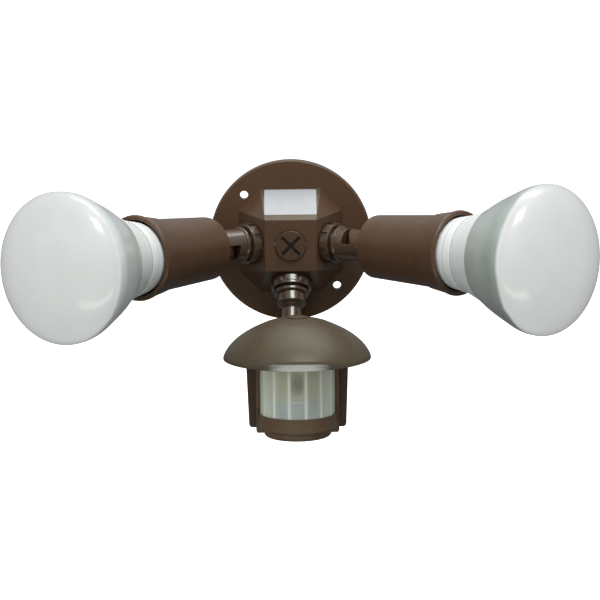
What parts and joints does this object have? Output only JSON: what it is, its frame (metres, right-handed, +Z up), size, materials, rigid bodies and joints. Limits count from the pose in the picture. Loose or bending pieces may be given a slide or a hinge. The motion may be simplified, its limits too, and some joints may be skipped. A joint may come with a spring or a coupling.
{
  "type": "motion sensor security light",
  "caption": "Wall security light: two aimable reflector lamps on a round cover plate with a hooded motion sensor hung below on a ball joint.",
  "frame": {"origin": "centre of the cover plate's wall face, midway between the two box screw holes", "axes": "+Y into the wall, +Z up, +X to the right as seen from the front; the light stands out towards -Y"},
  "size_m": [0.377, 0.1933, 0.1776],
  "materials": {
    "bronze_paint": "satin bronze-brown powder coat",
    "bronze_plastic": "satin bronze-brown moulding",
    "black_rubber": "matt black",
    "white_label": "blank white film",
    "green_screw": "green painted screw",
    "plated_steel": "zinc plated",
    "lens_plastic": "milky ribbed film",
    "circuit_board": "green solder mask",
    "detector_can": "nickel plated can",
    "cell_face": "clear coated track",
    "relay_black": "black moulding",
    "pot_blue": "blue moulding",
    "porcelain": "glazed white",
    "brass": "bright",
    "lamp_base_metal": "rolled thread",
    "base_insulator": "black glass",
    "solder": "solder",
    "lamp_white": "warm white moulding",
    "frosted_glass": "frosted white",
    "tube_phosphor": "phosphor coated"
  },
  "bodies": {
    "wall_plate": {"cover_plate": "bronze_paint", "mounting_gasket": "black_rubber", "centre_plug": "bronze_paint", "rating_label": "white_label", "ground_screw": "green_screw", "left_locknut": "bronze_paint", "right_locknut": "bronze_paint", "sensor_locknut": "bronze_paint", "left_locknut_seal": "black_rubber", "right_locknut_seal": "black_rubber", "sensor_locknut_seal": "black_rubber"},
    "left_arm": {"left_stem": "bronze_paint", "left_knuckle_screw": "plated_steel"},
    "left_holder": {"left_lampholder": "bronze_paint", "left_socket": "porcelain", "left_socket_shell": "brass", "left_socket_contact": "brass", "left_socket_screws": "plated_steel"},
    "left_lamp": {"left_lamp_screw_shell": "lamp_base_metal", "left_lamp_insulator": "base_insulator", "left_lamp_tip": "solder", "left_ballast_housing": "lamp_white", "left_tube_plate": "lamp_white", "left_bulb_glass": "frosted_glass", "left_ballast_board": "circuit_board", "left_spiral_tube": "tube_phosphor"},
    "right_arm": {"right_stem": "bronze_paint", "right_knuckle_screw": "plated_steel"},
    "right_holder": {"right_lampholder": "bronze_paint", "right_socket": "porcelain", "right_socket_shell": "brass", "right_socket_contact": "brass", "right_socket_screws": "plated_steel"},
    "right_lamp": {"right_lamp_screw_shell": "lamp_base_metal", "right_lamp_insulator": "base_insulator", "right_lamp_tip": "solder", "right_ballast_housing": "lamp_white", "right_tube_plate": "lamp_white", "right_bulb_glass": "frosted_glass", "right_ballast_board": "circuit_board", "right_spiral_tube": "tube_phosphor"},
    "sensor_arm": {"sensor_stem": "bronze_paint"},
    "sensor_head": {"sensor_ball_neck": "bronze_plastic", "sensor_front_housing": "bronze_plastic", "fresnel_lens": "lens_plastic", "case_seal": "black_rubber", "sensor_rear_housing": "bronze_plastic", "case_screws": "plated_steel", "sensor_hood": "bronze_plastic", "hood_screws": "plated_steel", "sensor_board": "circuit_board", "board_screws": "plated_steel", "pyro_detector": "detector_can", "photocell": "cell_face", "switching_relay": "relay_black", "potentiometers": "pot_blue"},
    "time_knob": {"time_dial": "bronze_plastic"},
    "range_knob": {"range_dial": "bronze_plastic"}
  },
  "joints": [
    {"name": "left_arm_swivel", "type": "hinge", "parent": "wall_plate", "child": "left_arm", "pos_m": [-0.02625, -0.0191, 0], "axis": [-0.8237, -0.5671, 0], "range_deg": [-36, 24]},
    {"name": "left_knuckle", "type": "hinge", "parent": "left_arm", "child": "left_holder", "pos_m": [-0.04915, -0.03486, 0], "axis": [-0.0593, 0.0861, 0.9945], "range_deg": [-44, 19]},
    {"name": "left_lamp_unscrew", "type": "slide", "parent": "left_holder", "child": "left_lamp", "axis": [-0.5896, -0.807, 0.0347], "range_m": [0, 0.03]},
    {"name": "right_arm_swivel", "type": "hinge", "parent": "wall_plate", "child": "right_arm", "pos_m": [0.02625, -0.0191, 0], "axis": [0.8237, -0.5671, 0], "range_deg": [-20, 39]},
    {"name": "right_knuckle", "type": "hinge", "parent": "right_arm", "child": "right_holder", "pos_m": [0.04915, -0.03486, 0], "axis": [0.0965, 0.1402, 0.9854], "range_deg": [-27, 35]},
    {"name": "right_lamp_unscrew", "type": "slide", "parent": "right_holder", "child": "right_lamp", "axis": [0.7031, -0.7103, 0.0322], "range_m": [0, 0.03]},
    {"name": "sensor_arm_swivel", "type": "hinge", "parent": "wall_plate", "child": "sensor_arm", "pos_m": [0, -0.0191, -0.02625], "axis": [0, -0.5671, -0.8237], "range_deg": [-20, 20]},
    {"name": "sensor_tilt", "type": "hinge", "parent": "sensor_arm", "child": "sensor_head", "pos_m": [0, -0.02732, -0.03819], "axis": [1, 0, 0], "range_deg": [-15, 18]},
    {"name": "time_setting", "type": "hinge", "parent": "sensor_head", "child": "time_knob", "pos_m": [-0.0096, -0.045, -0.118], "axis": [0, 0, 1], "range_deg": [0, 270]},
    {"name": "range_setting", "type": "hinge", "parent": "sensor_head", "child": "range_knob", "pos_m": [0.0164, -0.045, -0.118], "axis": [0, 0, 1], "range_deg": [0, 270]}
  ]
}
